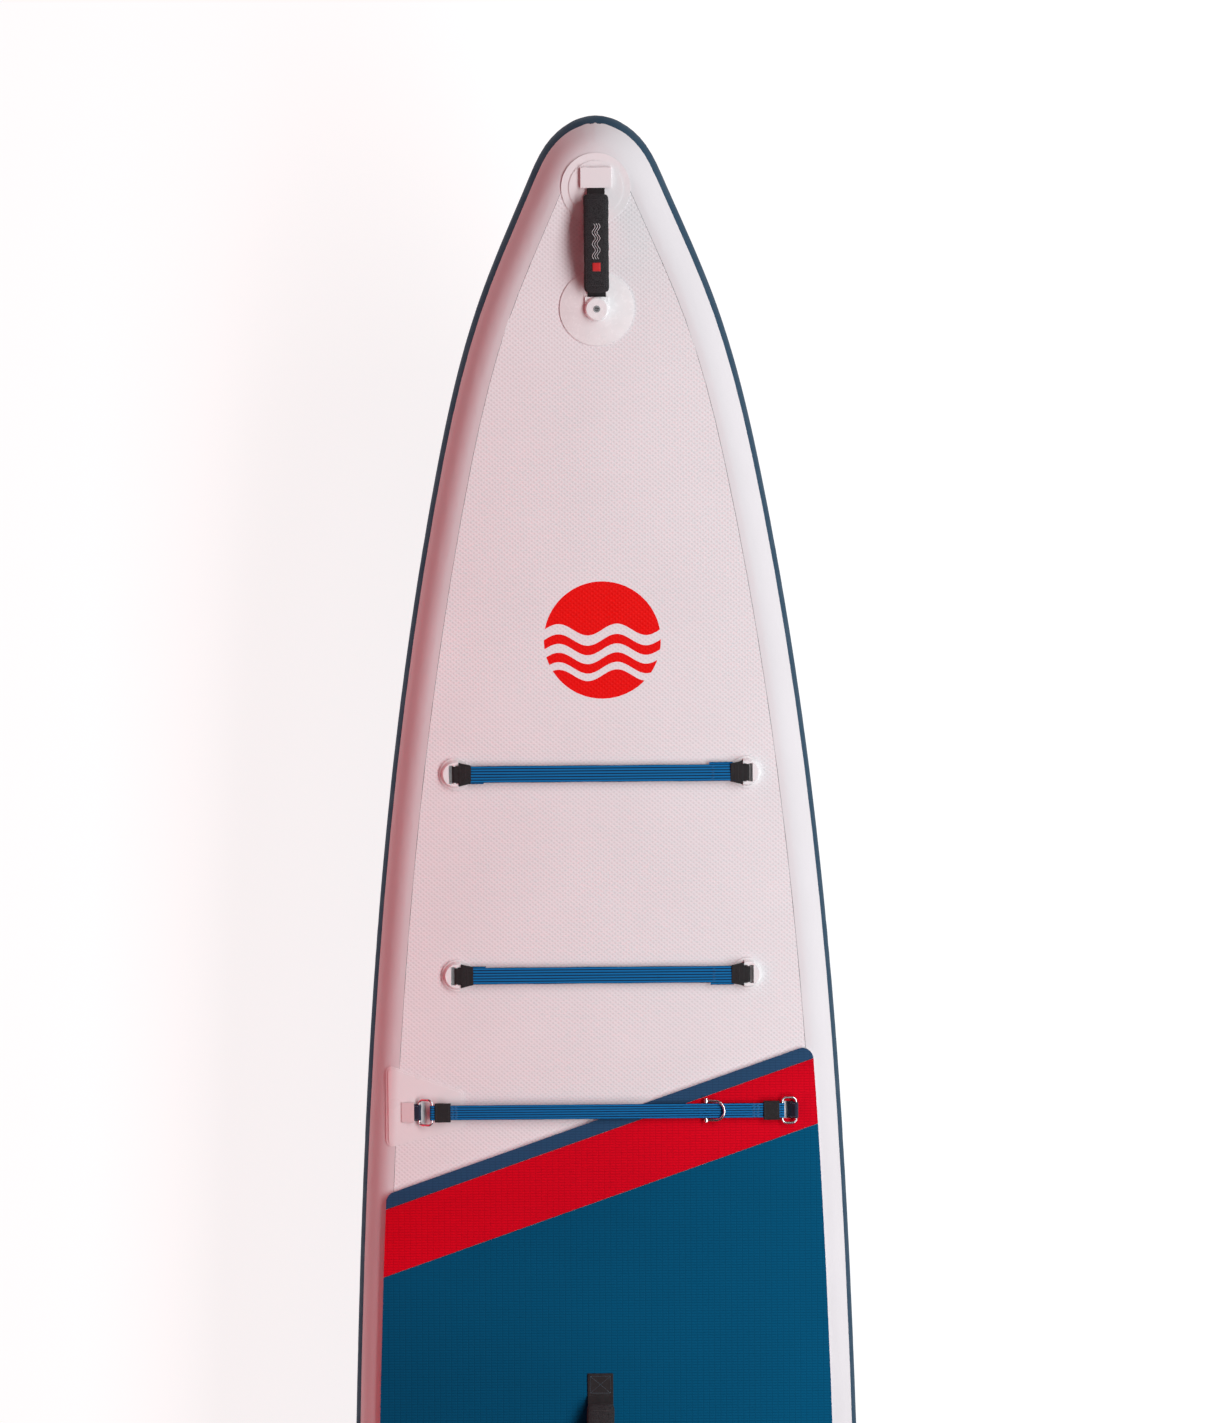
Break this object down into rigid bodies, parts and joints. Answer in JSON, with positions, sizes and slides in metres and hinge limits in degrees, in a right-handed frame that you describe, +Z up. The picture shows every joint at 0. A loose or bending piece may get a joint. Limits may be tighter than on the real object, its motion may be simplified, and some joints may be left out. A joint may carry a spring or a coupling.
{
  "type": "stand up paddleboard",
  "caption": "Inflatable touring stand up paddleboard with a deck pad, padded carry handles, cargo and paddle straps, an air valve, a leash ring and a removable fin.",
  "frame": {"origin": "below the middle of the board, level with the tip of the fin", "axes": "+X towards the nose, +Y to port, +Z up from the deck"},
  "size_m": [3.8106, 0.762, 0.5736],
  "materials": {
    "deck_white": "satin",
    "rail_white": "satin",
    "rail_blue": "satin",
    "hull_blue": "satin",
    "foam_navy": "matte",
    "foam_red": "matte",
    "foam_teal": "matte",
    "yarn": "matte",
    "webbing_black": "matte",
    "webbing_navy": "matte",
    "elastic_blue": "matte",
    "grip_black": "matte",
    "moulded_white": "satin",
    "moulded_black": "satin",
    "stainless": "polished",
    "brass": "satin",
    "valve_grey": "satin",
    "seal_rubber": "matte"
  },
  "bodies": {
    "board": {"accessory_insert": "stainless", "accessory_mount": "moulded_white", "cargo_anchor_front_port": "moulded_white", "cargo_anchor_front_starboard": "moulded_white", "cargo_anchor_rear_port": "moulded_white", "cargo_anchor_rear_starboard": "moulded_white", "cargo_strap_end_front_port": "webbing_black", "cargo_strap_end_front_starboard": "webbing_black", "cargo_strap_end_rear_port": "webbing_black", "cargo_strap_end_rear_starboard": "webbing_black", "cargo_strap_front": "elastic_blue", "cargo_strap_rear": "elastic_blue", "centre_handle_grip": "grip_black", "centre_handle_webbing": "webbing_black", "deck_pad_navy": "foam_navy", "deck_pad_red": "foam_red", "deck_pad_teal": "foam_teal", "deck_skin": "deck_white", "drop_stitch_yarns": "yarn", "fin_box": "moulded_black", "hull_skin": "hull_blue", "leash_loop": "webbing_black", "leash_patch": "rail_white", "nose_handle_grip": "grip_black", "nose_handle_tab": "rail_white", "nose_handle_webbing": "webbing_black", "nose_patch_base": "rail_white", "nose_patch_cover": "rail_white", "paddle_strap": "elastic_blue", "rail_band_port": "rail_blue", "rail_band_starboard": "rail_blue", "rail_lower_port": "hull_blue", "rail_lower_starboard": "hull_blue", "rail_upper_port": "rail_white", "rail_upper_starboard": "rail_white", "side_loop_pocket": "rail_white", "side_loop_port": "webbing_navy", "side_loop_starboard": "webbing_navy", "side_patch_base": "rail_white", "side_patch_cover": "rail_white", "side_ring_port": "stainless", "side_ring_starboard": "stainless", "strap_cuff_port": "webbing_black", "strap_cuff_starboard": "webbing_black", "tail_handle_grip": "grip_black", "tail_handle_patch": "rail_white", "tail_handle_webbing": "webbing_black", "valve_body": "valve_grey", "valve_nut": "valve_grey", "valve_spring": "stainless", "valve_tether": "seal_rubber"},
    "fin": {"fin": "moulded_black", "fin_plate": "brass"},
    "fin_screw": {"fin_screw": "stainless"},
    "valve_stem": {"valve_stem": "valve_grey", "valve_diaphragm": "seal_rubber"},
    "valve_cap": {"valve_cap": "valve_grey"},
    "leash_ring": {"leash_ring": "stainless"},
    "shackle": {"shackle_bow": "stainless"},
    "shackle_pin": {"shackle_pin": "stainless"}
  },
  "joints": [
    {"name": "fin_slide", "type": "slide", "parent": "board", "child": "fin", "axis": [1, 0, 0], "range_m": [-0.02, 0.02]},
    {"name": "fin_screw_turn", "type": "hinge", "parent": "fin", "child": "fin_screw", "pos_m": [-1.345, 0, 0.21], "axis": [0, 0, 1], "continuous": true},
    {"name": "valve_stem_press", "type": "slide", "parent": "board", "child": "valve_stem", "axis": [0, 0, 1], "range_m": [-0.005, 0], "stiffness_N_per_m": 1200, "springref_m": 0.002, "deforming": ["valve_spring"]},
    {"name": "valve_cap_turn", "type": "hinge", "parent": "board", "child": "valve_cap", "pos_m": [-1.64, 0.115, 0.381], "axis": [0, 0, 1], "range_deg": [0, 90]},
    {"name": "leash_ring_swing", "type": "hinge", "parent": "board", "child": "leash_ring", "pos_m": [-1.79, 0, 0.3885], "axis": [0, 1, 0], "range_deg": [0, 170]},
    {"name": "shackle_slide", "type": "slide", "parent": "board", "child": "shackle", "axis": [0, 1, 0], "range_m": [-0.045, 0.36]},
    {"name": "shackle_pin_turn", "type": "hinge", "parent": "shackle", "child": "shackle_pin", "pos_m": [0.44228, -0.152, 0.39443], "axis": [0.9995, 0, 0.0316], "continuous": true}
  ]
}
